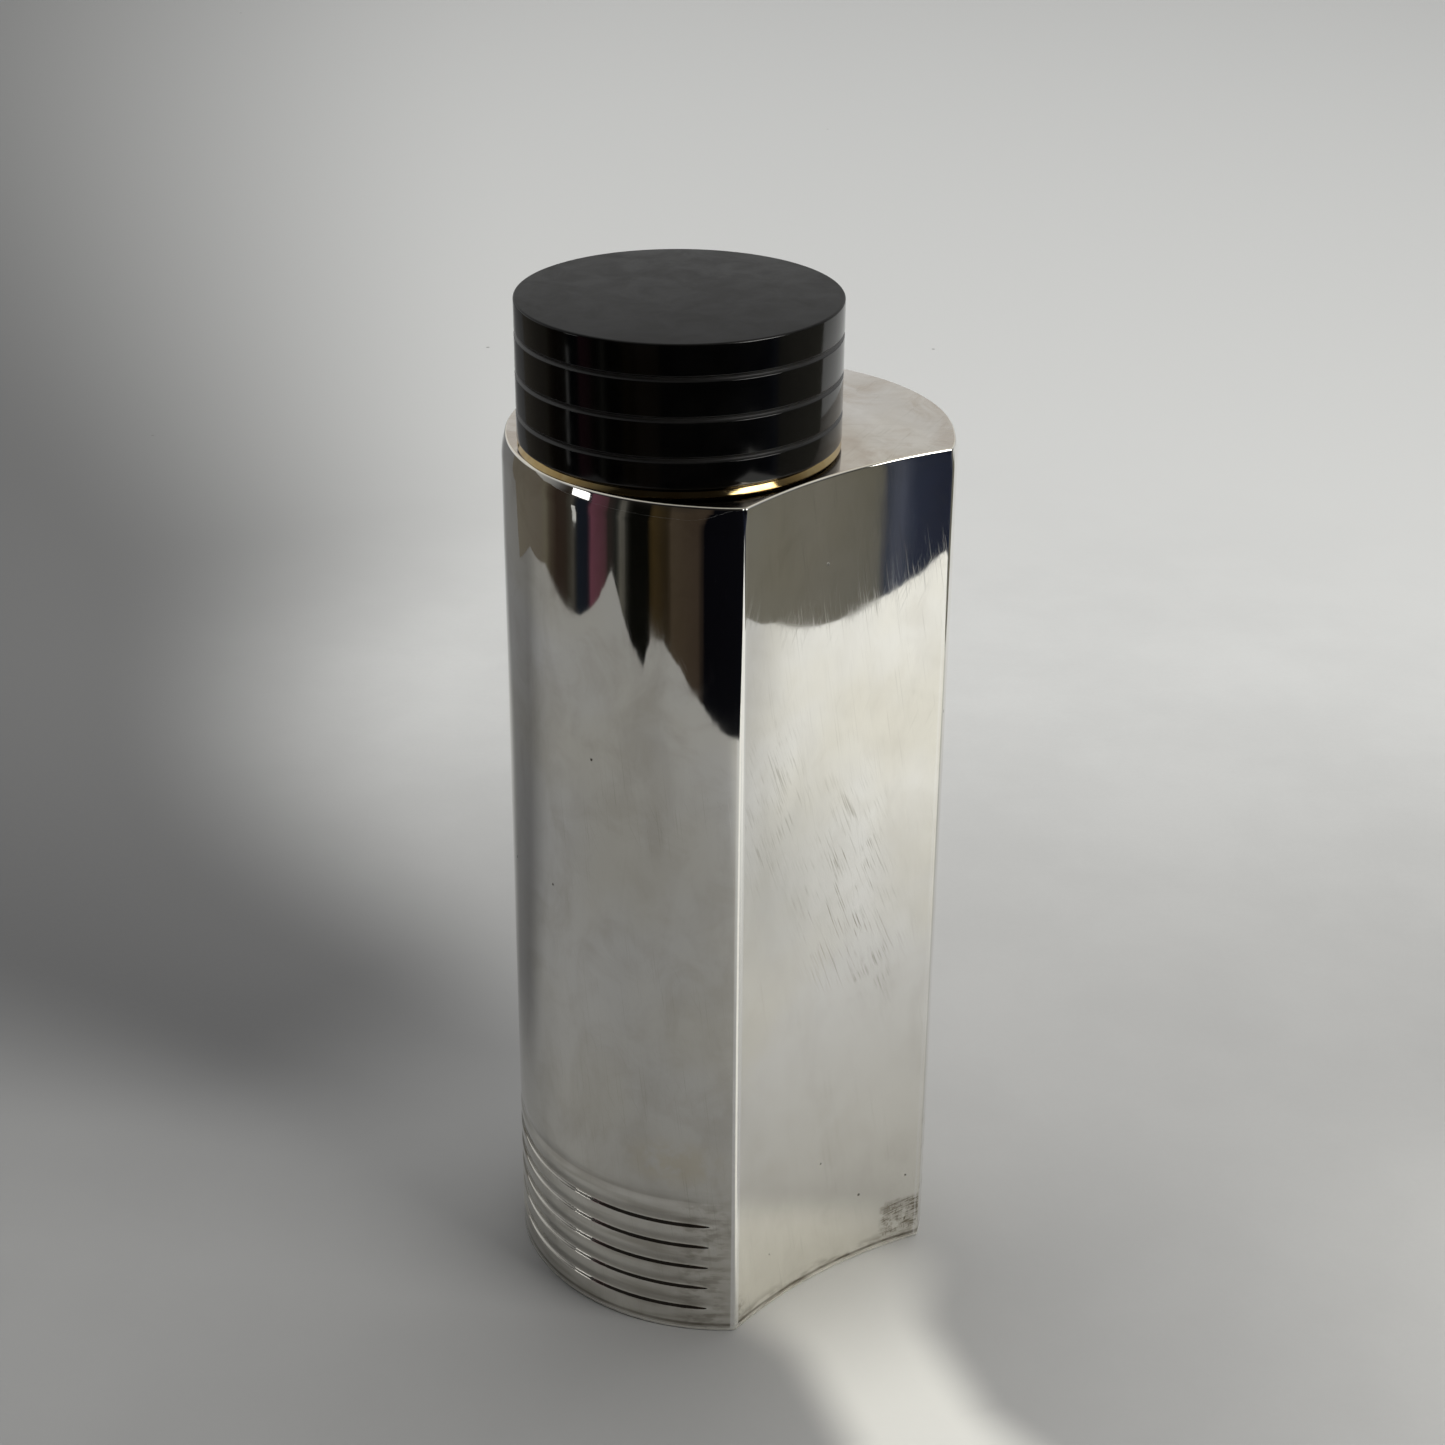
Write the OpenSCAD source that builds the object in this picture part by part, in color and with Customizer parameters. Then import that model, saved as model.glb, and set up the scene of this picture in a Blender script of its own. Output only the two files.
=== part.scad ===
// Tea caddy in plated sheet metal: a tall round body with one concave side,
// an offset gilt neck and a black slip-on cap lined with a cork disc.
// Millimetres. +Z is up. The origin is the centre of the round on the base.
// The concave side faces -Y; the neck stands off towards -X.

/* [Body] */
// Diameter of the round body
body_d = 82; // [70:1:110]
// Height of the body, from the base to the top of the top plate
body_h = 170; // [110:1:220]
// Thickness of the wall sheet
sheet_t = 1.0; // [0.6:0.1:1.6]
// Thickness of the top and base plates
plate_t = 1.2; // [0.8:0.1:2.0]
// Chamfer on the outer edge of both plates
plate_chamfer = 0.35; // [0.1:0.05:0.5]

/* [Concave side] */
// Radius of the concave side's outer face
nest_r = 99; // [80:1:140]
// How far the concave side cuts into the round, at its middle
nest_depth = 10.8; // [6:0.2:13]
// Radius of the solder fillets inside the two upright corners
fillet_r = 2.4; // [1.5:0.1:4]

/* [Base grooves] */
// Number of grooves round the foot of the body
groove_count = 6; // [1:1:10]
// Height of the lowest groove's centre
groove_first = 5.8; // [3.5:0.1:10]
// Distance between grooves
groove_pitch = 4.8; // [3.5:0.1:8]
// Width of a groove at the surface
groove_w = 2.0; // [1.0:0.1:2.6]
// Depth of a groove
groove_depth = 0.5; // [0.2:0.05:0.6]

/* [Neck] */
// Outer diameter of the neck
neck_d = 51; // [40:0.5:52]
// Wall of the neck
neck_wall = 0.9; // [0.6:0.1:1.4]
// Distance of the neck's axis from the body's axis, towards -X
neck_offset = 11.6; // [8:0.1:12]
// Width of the neck's turned-out flange, under the top plate
flange_w = 2.4; // [1.5:0.1:3]
// Radius of the half-round ring round the foot of the neck
ring_r = 0.8; // [0.4:0.1:1.0]

/* [Cap] */
// Diameter of the cap
cap_d = 57.4; // [56.6:0.1:60]
// Height of the cap
cap_h = 25.3; // [20:0.1:36]
// Thickness of the cap's crown
cap_crown = 4.0; // [2.5:0.1:6]
// Gap between the cap's lower edge and the top plate
cap_gap = 1.3; // [1.1:0.1:3]
// Number of rings cut round the cap
cap_rings = 3; // [1:1:3]
// Depth of the first ring below the cap's top
ring_first = 6.0; // [3:0.1:6.5]
// Distance between the rings
ring_pitch = 7.05; // [4:0.05:7.1]
// Width of a ring at the surface
ring_w = 1.1; // [0.6:0.1:1.6]
// Depth of a ring
ring_depth = 0.45; // [0.2:0.05:0.6]
// Wall of the sleeve inside the cap
sleeve_t = 0.8; // [0.5:0.1:1.0]
// Thickness of the cork disc
cork_t = 2.4; // [1.5:0.1:4]

/* [Fits] */
// Clearance between the neck and the sleeve that slides on it
slip_gap = 0.08; // [0.02:0.01:0.1]
// Gap that solder or a press fit closes
seam_gap = 0.03; // [0.02:0.01:0.06]

/* [Hidden] */
$fn = 180;

body_r = body_d / 2;
nest_y = -(body_r - nest_depth + nest_r);   // centre of the concave side's circle
wall_z0 = plate_t;                          // walls stand on the base plate
wall_z1 = body_h - plate_t;                 // and carry the top plate
wall_h = wall_z1 - wall_z0;
groove_r = (groove_w * groove_w / 4 + groove_depth * groove_depth) / (2 * groove_depth);
groove_x = body_r - groove_depth + groove_r; // centre of a groove's arc

neck_r = neck_d / 2;
cap_r = cap_d / 2;
cap_z0 = body_h + cap_gap;
cap_z1 = cap_z0 + cap_h;
cork_z1 = cap_z1 - cap_crown;
cork_z0 = cork_z1 - cork_t;
neck_z1 = cork_z0 - 0.05;                   // the rim seals against the cork
sleeve_ri = neck_r + slip_gap;
bore_r = sleeve_ri + sleeve_t + seam_gap;   // bore of the cap

// Half angle of the concave side, seen from the body's axis
corner_a = acos((body_r * body_r + nest_y * nest_y - nest_r * nest_r) / (2 * body_r * -nest_y));
// Inner corner between the round wall and the concave panel
ri = body_r - sheet_t;
ro = nest_r + sheet_t;
inner_a = acos((ri * ri + nest_y * nest_y - ro * ro) / (2 * ri * -nest_y));

// ---- Body ----

// Section of the round wall: radius along X, height along Y. The sheet is
// pressed in at each groove, so the same groove stands proud inside.
module wall_section() {
    difference() {
        union() {
            translate([body_r - sheet_t, wall_z0]) square([sheet_t, wall_h]);
            intersection() {
                translate([body_r - sheet_t - 3, wall_z0]) square([3.2, wall_h]);
                union() for (i = [0 : groove_count - 1])
                    translate([groove_x, groove_first + i * groove_pitch])
                        circle(r = groove_r + sheet_t * 0.8);
            }
        }
        for (i = [0 : groove_count - 1])
            translate([groove_x, groove_first + i * groove_pitch]) circle(r = groove_r);
    }
}

module round_wall() {
    color([0.80, 0.79, 0.75])
    difference() {
        rotate_extrude() wall_section();
        translate([0, nest_y, 0])
            cylinder(r = nest_r + sheet_t + seam_gap, h = body_h);
    }
}

// Concave panel: it closes the side from corner to corner.
module concave_panel() {
    color([0.84, 0.83, 0.79])
    translate([0, 0, wall_z0])
    linear_extrude(height = wall_h)
    intersection() {
        circle(r = body_r);
        difference() {
            translate([0, nest_y]) circle(r = nest_r + sheet_t);
            translate([0, nest_y]) circle(r = nest_r);
        }
    }
}

// A plate with the body's outline, chamfered on one outer edge.
module plate(up) {
    c = plate_chamfer;
    translate([0, 0, up ? 0 : plate_t]) mirror([0, 0, up ? 0 : 1])
    difference() {
        union() {
            cylinder(r = body_r, h = plate_t - c);
            translate([0, 0, plate_t - c]) cylinder(r1 = body_r, r2 = body_r - c, h = c);
        }
        translate([0, nest_y, -1]) cylinder(r = nest_r, h = plate_t + 2);
        translate([0, nest_y, plate_t - c]) cylinder(r1 = nest_r, r2 = nest_r + 2 * c, h = 2 * c);
    }
}

module top_plate() {
    color([0.78, 0.76, 0.71])
    translate([0, 0, wall_z1])
    difference() {
        plate(true);
        translate([-neck_offset, 0, -1]) cylinder(r = neck_r + seam_gap, h = plate_t + 2);
    }
}

module base_plate() {
    color([0.78, 0.77, 0.73]) plate(false);
}

// Solder fillets that join the round wall and the panel, inside both corners.
module corner_fillets() {
    color([0.62, 0.61, 0.57])
    translate([0, 0, wall_z0])
    linear_extrude(height = wall_h)
    for (s = [-1, 1])
        intersection() {
            translate([s * ri * sin(inner_a), -ri * cos(inner_a)]) circle(r = fillet_r);
            difference() {
                circle(r = ri - wall_bead());
                translate([0, nest_y]) circle(r = ro + seam_gap);
            }
        }
}
// How far the grooves stand proud inside the wall, with a little to spare.
function wall_bead() = max(0, groove_depth - 0.2 * sheet_t) + 0.05;

// ---- Neck ----

// Tube with a turned-out flange that bears on the top plate from below.
module neck_tube() {
    z0 = wall_z1 - neck_wall - seam_gap;
    color([0.80, 0.62, 0.27])
    translate([-neck_offset, 0, 0])
    rotate_extrude()
    polygon([
        [neck_r - neck_wall, z0],
        [neck_r + flange_w, z0],
        [neck_r + flange_w, z0 + neck_wall],
        [neck_r, z0 + neck_wall],
        [neck_r, neck_z1 - 0.3],
        [neck_r - 0.3, neck_z1],
        [neck_r - neck_wall + 0.3, neck_z1],
        [neck_r - neck_wall, neck_z1 - 0.3]
    ]);
}

// Half-round ring laid round the foot of the neck, on the top plate.
module neck_ring() {
    color([0.83, 0.66, 0.30])
    translate([-neck_offset, 0, body_h])
    rotate_extrude()
    intersection() {
        translate([neck_r + seam_gap + ring_r, 0]) circle(r = ring_r);
        translate([neck_r - 1, 0]) square([2 * ring_r + 2, ring_r + 1]);
    }
}

// Solder fillet under the top plate, round the neck's flange.
module neck_fillet() {
    f = 1.0;
    z1 = wall_z1 - seam_gap;
    color([0.62, 0.61, 0.57])
    translate([-neck_offset, 0, 0])
    difference() {
        rotate_extrude()
        polygon([
            [neck_r + flange_w + seam_gap, z1 - neck_wall],
            [neck_r + flange_w + seam_gap, z1],
            [neck_r + flange_w + seam_gap + f, z1]
        ]);
        // the fillet stops short where the wall comes close
        translate([neck_offset, 0, z1 - 2]) difference() {
            cylinder(r = body_r + 10, h = 3);
            translate([0, 0, -1]) cylinder(r = ri - 0.1, h = 5);
        }
    }
}

// ---- Cap ----

// One V ring, as the three points where it breaks the cap's side.
function ring_points(z) = [
    [cap_r, z - ring_w / 2], [cap_r - ring_depth, z], [cap_r, z + ring_w / 2]];

module cap_shell() {
    rings = [for (i = [cap_rings - 1 : -1 : 0])
             for (p = ring_points(cap_z1 - ring_first - i * ring_pitch)) p];
    color([0.06, 0.06, 0.06])
    translate([-neck_offset, 0, 0])
    rotate_extrude()
    polygon(concat(
        [[bore_r, cap_z0], [cap_r - 0.4, cap_z0], [cap_r, cap_z0 + 0.4]],
        rings,
        [[cap_r, cap_z1 - 0.6], [cap_r - 0.2, cap_z1 - 0.2], [cap_r - 0.6, cap_z1],
         [0, cap_z1], [0, cork_z1], [bore_r, cork_z1]]));
}

// Metal sleeve pressed into the cap. It slides on the neck.
module cap_sleeve() {
    color([0.74, 0.60, 0.34])
    translate([-neck_offset, 0, 0])
    rotate_extrude()
    polygon([
        [sleeve_ri + 0.25, cap_z0 + 0.4],
        [sleeve_ri + sleeve_t, cap_z0 + 0.4],
        [sleeve_ri + sleeve_t, cork_z0 - seam_gap],
        [sleeve_ri, cork_z0 - seam_gap],
        [sleeve_ri, cap_z0 + 0.65]
    ]);
}

// Cork disc that seals the neck's rim.
module cork_disc() {
    color([0.68, 0.50, 0.32])
    translate([-neck_offset, 0, cork_z0])
    cylinder(r = bore_r - 0.1, h = cork_t - 0.05);
}

round_wall();
concave_panel();
top_plate();
base_plate();
corner_fillets();
neck_tube();
neck_ring();
neck_fillet();
cap_shell();
cap_sleeve();
cork_disc();
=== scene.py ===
"""Looks for the silver-plated tea caddy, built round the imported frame. Metres, same frame as the CAD."""

import math

import bpy
import numpy as np
from mathutils import Matrix, Vector


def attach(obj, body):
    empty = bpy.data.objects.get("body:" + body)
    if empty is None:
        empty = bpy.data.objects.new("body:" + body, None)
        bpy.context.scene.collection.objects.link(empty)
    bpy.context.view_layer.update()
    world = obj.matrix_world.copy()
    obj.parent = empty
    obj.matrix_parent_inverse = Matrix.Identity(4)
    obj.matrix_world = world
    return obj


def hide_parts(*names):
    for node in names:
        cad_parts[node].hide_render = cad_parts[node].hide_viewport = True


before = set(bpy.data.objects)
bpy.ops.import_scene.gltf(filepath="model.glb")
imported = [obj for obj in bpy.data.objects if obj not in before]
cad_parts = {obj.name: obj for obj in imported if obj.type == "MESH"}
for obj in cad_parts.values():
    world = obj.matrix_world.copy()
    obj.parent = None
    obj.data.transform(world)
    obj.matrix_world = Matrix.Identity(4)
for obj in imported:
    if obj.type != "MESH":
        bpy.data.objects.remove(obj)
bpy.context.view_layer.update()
MM = 0.001

# ---- the caddy's numbers, in millimetres, as in part.scad ----
R = 41.0
H = 170.0
SHEET = 1.0
PLATE = 1.2
NEST_R = 99.0
NEST_DEPTH = 10.8
NEST_Y = -(R - NEST_DEPTH + NEST_R)
EDGE_R = 1.15          # rounding of the two upright edges
RIM_R = 0.60           # rounding of the top plate's outer edge
NECK_X = -11.6
NECK_R = 25.5
NECK_T = 0.9
RING_H = 1.20          # neck ring: height over the plate
RING_W = 3.10          # and its width
CAP_R = 28.7
CAP_H = 25.3
CAP_Z0 = H + 1.3
CAP_Z1 = CAP_Z0 + CAP_H
CROWN = 4.0
CORK_T = 2.4
CORK_Z1 = CAP_Z1 - CROWN
CORK_Z0 = CORK_Z1 - CORK_T
NECK_Z1 = CORK_Z0 - 0.05
SLEEVE_RI = NECK_R + 0.08
SLEEVE_T = 0.8
BORE_R = SLEEVE_RI + SLEEVE_T + 0.03
PHOTO_TURN = math.radians(-39.65)   # the photograph's frame, turned about Z


def lin(r, g, b):
    """8-bit screen colour to linear light."""
    return tuple(
        (c / 255 / 12.92) if c / 255 <= 0.04045 else ((c / 255 + 0.055) / 1.055) ** 2.4
        for c in (r, g, b)
    )


# ======================================================================
# meshes
# ======================================================================
def new_mesh(name, verts, faces, angle=35.0, smooth=True):
    me = bpy.data.meshes.new(name)
    me.from_pydata([tuple(v) for v in verts], [], [tuple(f) for f in faces])
    me.validate()
    me.update()
    if smooth:
        me.polygons.foreach_set("use_smooth", [True] * len(me.polygons))
        me.set_sharp_from_angle(angle=math.radians(angle))
    ob = bpy.data.objects.new(name, me)
    bpy.context.scene.collection.objects.link(ob)
    return ob


def arc(cx, cy, r, a0, a1, n):
    """n + 1 points on an arc, angles in degrees."""
    return [
        (cx + r * math.cos(math.radians(a0 + (a1 - a0) * i / n)),
         cy + r * math.sin(math.radians(a0 + (a1 - a0) * i / n)))
        for i in range(n + 1)
    ]


# Upright edge: a round of radius EDGE_R inside the corner of the two faces.
_fy = ((R - EDGE_R) ** 2 + NEST_Y ** 2 - (NEST_R + EDGE_R) ** 2) / (2 * NEST_Y)
_fx = math.sqrt((R - EDGE_R) ** 2 - _fy ** 2)
EDGE_C = (_fx, _fy)
EDGE_A_WALL = math.degrees(math.atan2(_fy, _fx))                    # normal where it meets the round wall
EDGE_A_NEST = math.degrees(math.atan2(NEST_Y - _fy, -_fx))          # normal where it meets the concave face
if EDGE_A_NEST > 0:
    EDGE_A_NEST -= 360
EDGE_MID = (EDGE_A_WALL + EDGE_A_NEST) / 2


def wall_plan():
    """Plan of the round wall from the middle of the right edge, anticlockwise, to the middle of the left edge:
    (point, outward normal, distance from the end of the round, share of the lean under the rim) per station."""
    st = []
    n_edge = 10
    for i in range(n_edge):
        a = EDGE_MID + (EDGE_A_WALL - EDGE_MID) * i / n_edge
        st.append((a, True))
    n = 360
    a_end = 180 - EDGE_A_WALL
    for i in range(n + 1):
        st.append((EDGE_A_WALL + (a_end - EDGE_A_WALL) * i / n, False))
    out = []
    for a, edge in st:
        c, s = math.cos(math.radians(a)), math.sin(math.radians(a))
        if edge:
            out.append(((EDGE_C[0] + EDGE_R * c, EDGE_C[1] + EDGE_R * s), (c, s), 0.0, 0.5))
        else:
            gap = math.radians(min(a - EDGE_A_WALL, a_end - a)) * R
            out.append(((R * c, R * s), (c, s), gap, 0.5 + 0.5 * fade(gap)))
    for i in range(n_edge - 1, -1, -1):
        a = 180 - (EDGE_MID + (EDGE_A_WALL - EDGE_MID) * i / n_edge)
        c, s = math.cos(math.radians(a)), math.sin(math.radians(a))
        out.append(((-EDGE_C[0] + EDGE_R * c, EDGE_C[1] + EDGE_R * s), (c, s), 0.0, 0.5))
    return out


def nest_plan():
    """Plan of the concave panel from the middle of the left edge to the middle of the right edge, outward normals."""
    out = []
    n_edge = 10
    left_mid = 180 - EDGE_MID
    left_nest = 180 - EDGE_A_NEST
    for i in range(n_edge):
        a = left_mid + (left_nest - left_mid) * i / n_edge
        c, s = math.cos(math.radians(a)), math.sin(math.radians(a))
        out.append(((-EDGE_C[0] + EDGE_R * c, EDGE_C[1] + EDGE_R * s), (c, s), 0.0, 0.5 * (1 - i / n_edge)))
    # centre of the nest circle to the round's centre gives the end angles on the nest circle
    b0 = math.degrees(math.atan2(EDGE_C[1] - NEST_Y, -EDGE_C[0]))
    b1 = math.degrees(math.atan2(EDGE_C[1] - NEST_Y, EDGE_C[0]))
    n = 110
    for i in range(n + 1):
        b = b0 + (b1 - b0) * i / n
        c, s = math.cos(math.radians(b)), math.sin(math.radians(b))
        out.append(((NEST_R * c, NEST_Y + NEST_R * s), (-c, -s), min(abs(b - b0), abs(b - b1)) * 1.7, 0.0))
    for i in range(n_edge - 1, -1, -1):
        a = EDGE_MID + (EDGE_A_NEST - EDGE_MID) * i / n_edge
        c, s = math.cos(math.radians(a)), math.sin(math.radians(a))
        out.append(((EDGE_C[0] + EDGE_R * c, EDGE_C[1] + EDGE_R * s), (c, s), 0.0, 0.5 * (1 - i / n_edge)))
    return out


def full_plan():
    """Closed plan of the body, anticlockwise."""
    w, n = wall_plan(), nest_plan()
    return w + n[1:-1]


# Grooves: (deepest height, depth, run of the upper slope, run of the lower lip). The top one is shallower.
GROOVES = [(5.6 + 4.8 * i, 0.40, 2.5, 0.80) for i in range(5)] + [(29.7, 0.26, 2.7, 1.5)]
LEAN_Z = 165.6         # the round wall leans in a little below the rim
LEAN_TAN = 0.28


def ease(t):
    return 0.5 - 0.5 * math.cos(math.pi * t)


def groove_depth(z):
    d = 0.0
    for zc, dep, up, dn in GROOVES:
        if zc - dn < z < zc:
            d += dep * ease((z - zc + dn) / dn)
        elif zc <= z < zc + up:
            d += dep * ease((zc + up - z) / up)
    return d


def lean(z):
    t = max(0.0, z - LEAN_Z)
    return 0.5 * t * t * LEAN_TAN / (H - PLATE - LEAN_Z)


def fade(dist):
    """The grooves run out before they reach the upright edges."""
    t = max(0.0, min(1.0, (dist - 0.8) / 9.0))
    return t * t * (3 - 2 * t)


def sweep(name, plan, rows_out, rows_in, groove=False):
    """A sheet swept along plan. rows_out: heights up the outer face; rows_in: heights down the inner face."""
    verts, faces = [], []
    m = len(rows_out) + len(rows_in)
    for (px, py), (nx, ny), dist, lf in plan:
        f = fade(dist) if groove else 0.0
        for z in rows_out:
            t = groove_depth(z) * f + lean(z) * lf
            verts.append(((px - nx * t) * MM, (py - ny * t) * MM, z * MM))
        for z in rows_in:
            t = SHEET + groove_depth(z) * 0.8 * f + lean(z) * lf
            verts.append(((px - nx * t) * MM, (py - ny * t) * MM, z * MM))
    k = len(plan)
    for i in range(k - 1):
        for j in range(m):
            a, b = i * m + j, i * m + (j + 1) % m
            faces.append((a, a + m, b + m, b))
    faces.append(tuple(range(m)))
    faces.append(tuple(reversed([(k - 1) * m + j for j in range(m)])))
    return new_mesh(name, verts, faces, 40)


def spaced(z0, z1, step):
    n = max(1, int(round((z1 - z0) / step)))
    return [z0 + (z1 - z0) * i / n for i in range(n + 1)]


def rows(z0, z1, grooves, k=10):
    if not grooves:
        return spaced(z0, LEAN_Z, 12.0) + [LEAN_Z + (z1 - LEAN_Z) * (i + 1) / 12 for i in range(12)]
    zs = [z0]
    for zc, dep, up, dn in GROOVES:
        zs += [zc - dn - 0.3] + [zc - dn + dn * i / k for i in range(k + 1)] + [zc + up * (i + 1) / k for i in range(k)]
    zs = sorted(set(round(z, 4) for z in zs if z0 <= z <= z1))
    zs += spaced(zs[-1] + 1.5, LEAN_Z, 8.0)
    zs += [LEAN_Z + (z1 - LEAN_Z) * (i + 1) / 12 for i in range(12)]
    return zs


def plate(name, top, hole):
    """Top or base plate: the body's plan with a rounded outer edge, and an optional round hole for the neck."""
    plan = full_plan()
    def profile(f):
        """(offset inwards, height) from the seam to the flat face; f is how much of the wall's lean is taken up."""
        prof = []
        if top:
            t0 = math.atan(LEAN_TAN * f)
            off = lean(H - PLATE) * f
            za = H - RIM_R * (1 - math.sin(t0))
            prof.append((off, H - PLATE))
            off += math.tan(t0) * (za - H + PLATE)
            for i in range(13):
                a = t0 + (math.pi / 2 - t0) * i / 12
                prof.append((off + RIM_R * (math.cos(t0) - math.cos(a)), za + RIM_R * (math.sin(a) - math.sin(t0))))
        else:
            prof.append((0.0, PLATE))
            for i in range(7):
                a = math.radians(90 * i / 6)
                prof.append((0.4 * (1 - math.cos(a)), 0.4 - 0.4 * math.sin(a)))
        return prof

    z_in = z_seam = H - PLATE if top else PLATE
    z_flat = H if top else 0.0
    verts, faces = [], []
    k, m = len(plan), len(profile(0.0))
    for (px, py), (nx, ny), _, lf in plan:
        for t, z in profile(lf):
            verts.append(((px - nx * t) * MM, (py - ny * t) * MM, z * MM))
    for i in range(k):
        for j in range(m - 1):
            a, b = i * m + j, ((i + 1) % k) * m + j
            f = (a, b, b + 1, a + 1)
            faces.append(f if top else tuple(reversed(f)))
    outer_flat = [i * m + m - 1 for i in range(k)]
    outer_seam = [i * m for i in range(k)]
    from mathutils.geometry import delaunay_2d_cdt

    def fill(loop, z, up, hole_ids):
        pts = [Vector((verts[v][0], verts[v][1])) for v in loop]
        loops = [list(range(len(pts)))]
        ids = list(loop)
        if hole_ids:
            base = len(pts)
            pts += [Vector((verts[v][0], verts[v][1])) for v in hole_ids]
            ids += list(hole_ids)
            loops.append(list(range(base, base + len(hole_ids))))
        edges = [(lp[i], lp[(i + 1) % len(lp)]) for lp in loops for i in range(len(lp))]
        co, _, tris, src, _, _ = delaunay_2d_cdt(pts, edges, [], 0, 1e-9)
        back = {}
        for i, s in enumerate(src):
            back[i] = ids[s[0]] if s else None
        for i in range(len(co)):
            if back[i] is None:
                back[i] = len(verts)
                verts.append((co[i][0], co[i][1], z * MM))
        inside = [(verts[v][0], verts[v][1]) for v in loop]
        for t in tris:
            cx = sum(co[i][0] for i in t) / 3
            cy = sum(co[i][1] for i in t) / 3
            if hole_ids and math.hypot(cx - NECK_X * MM, cy) < (NECK_R + 0.03) * MM:
                continue
            if math.hypot(cx, cy - NEST_Y * MM) < (NEST_R - 0.01) * MM:
                continue
            if not point_in(cx, cy, inside):
                continue
            f = tuple(back[i] for i in t)
            ax, ay = verts[f[0]][:2]
            bx, by = verts[f[1]][:2]
            qx, qy = verts[f[2]][:2]
            ccw = (bx - ax) * (qy - ay) - (by - ay) * (qx - ax) > 0
            faces.append(f if ccw == up else tuple(reversed(f)))

    hole_flat, hole_seam = [], []
    if hole:
        nh = 240
        r = NECK_R + 0.03
        for i in range(nh):
            a = 2 * math.pi * i / nh
            hole_flat.append(len(verts))
            verts.append(((NECK_X + r * math.cos(a)) * MM, r * math.sin(a) * MM, z_flat * MM))
        for i in range(nh):
            a = 2 * math.pi * i / nh
            hole_seam.append(len(verts))
            verts.append(((NECK_X + r * math.cos(a)) * MM, r * math.sin(a) * MM, z_in * MM))
        for i in range(nh):
            j = (i + 1) % nh
            faces.append((hole_flat[i], hole_flat[j], hole_seam[j], hole_seam[i]))
    fill(outer_flat, z_flat, top, hole_flat)
    fill(outer_seam, z_seam, not top, hole_seam)
    return new_mesh(name, verts, faces, 40)


def point_in(x, y, poly):
    inside = False
    j = len(poly) - 1
    for i in range(len(poly)):
        xi, yi = poly[i]
        xj, yj = poly[j]
        if (yi > y) != (yj > y) and x < (xj - xi) * (y - yi) / (yj - yi) + xi:
            inside = not inside
        j = i
    return inside


def lathe(name, prof, closed=True, seg=288, cx=NECK_X, angle=32):
    """Turns a profile of (radius, height) about the neck's axis. Points on the axis become one vertex."""
    verts, faces, ring = [], [], []
    for r, z in prof:
        if r < 1e-6:
            ring.append([len(verts)] * seg)
            verts.append((cx * MM, 0, z * MM))
        else:
            ids = []
            for i in range(seg):
                a = 2 * math.pi * i / seg
                ids.append(len(verts))
                verts.append(((cx + r * math.cos(a)) * MM, r * math.sin(a) * MM, z * MM))
            ring.append(ids)
    n = len(prof)
    for j in range(n if closed else n - 1):
        a, b = ring[j], ring[(j + 1) % n]
        if a[0] == a[1] and b[0] == b[1]:
            continue
        for i in range(seg):
            k = (i + 1) % seg
            f = [a[i], a[k], b[k], b[i]]
            f = [v for q, v in enumerate(f) if v not in f[:q]]
            if len(f) >= 3:
                faces.append(tuple(f))
    return new_mesh(name, verts, faces, angle)


def rounded(points, radii, n=6):
    """Rounds the corners of a polyline profile. radii: one per point, 0 leaves the corner sharp."""
    out = []
    k = len(points)
    for i, (p, r) in enumerate(zip(points, radii)):
        if r <= 0:
            out.append(p)
            continue
        a, b = Vector(points[i - 1]), Vector(points[(i + 1) % k])
        c = Vector(p)
        u, v = (a - c).normalized(), (b - c).normalized()
        half = math.acos(max(-1, min(1, u.dot(v)))) / 2
        t = r / math.tan(half)
        s, e = c + u * t, c + v * t
        o = c + (u + v).normalized() * (r / math.sin(half))
        a0 = math.atan2(s.y - o.y, s.x - o.x)
        a1 = math.atan2(e.y - o.y, e.x - o.x)
        while a1 - a0 > math.pi:
            a1 -= 2 * math.pi
        while a1 - a0 < -math.pi:
            a1 += 2 * math.pi
        for q in range(n + 1):
            w = a0 + (a1 - a0) * q / n
            out.append((o.x + r * math.cos(w), o.y + r * math.sin(w)))
    return out


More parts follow.
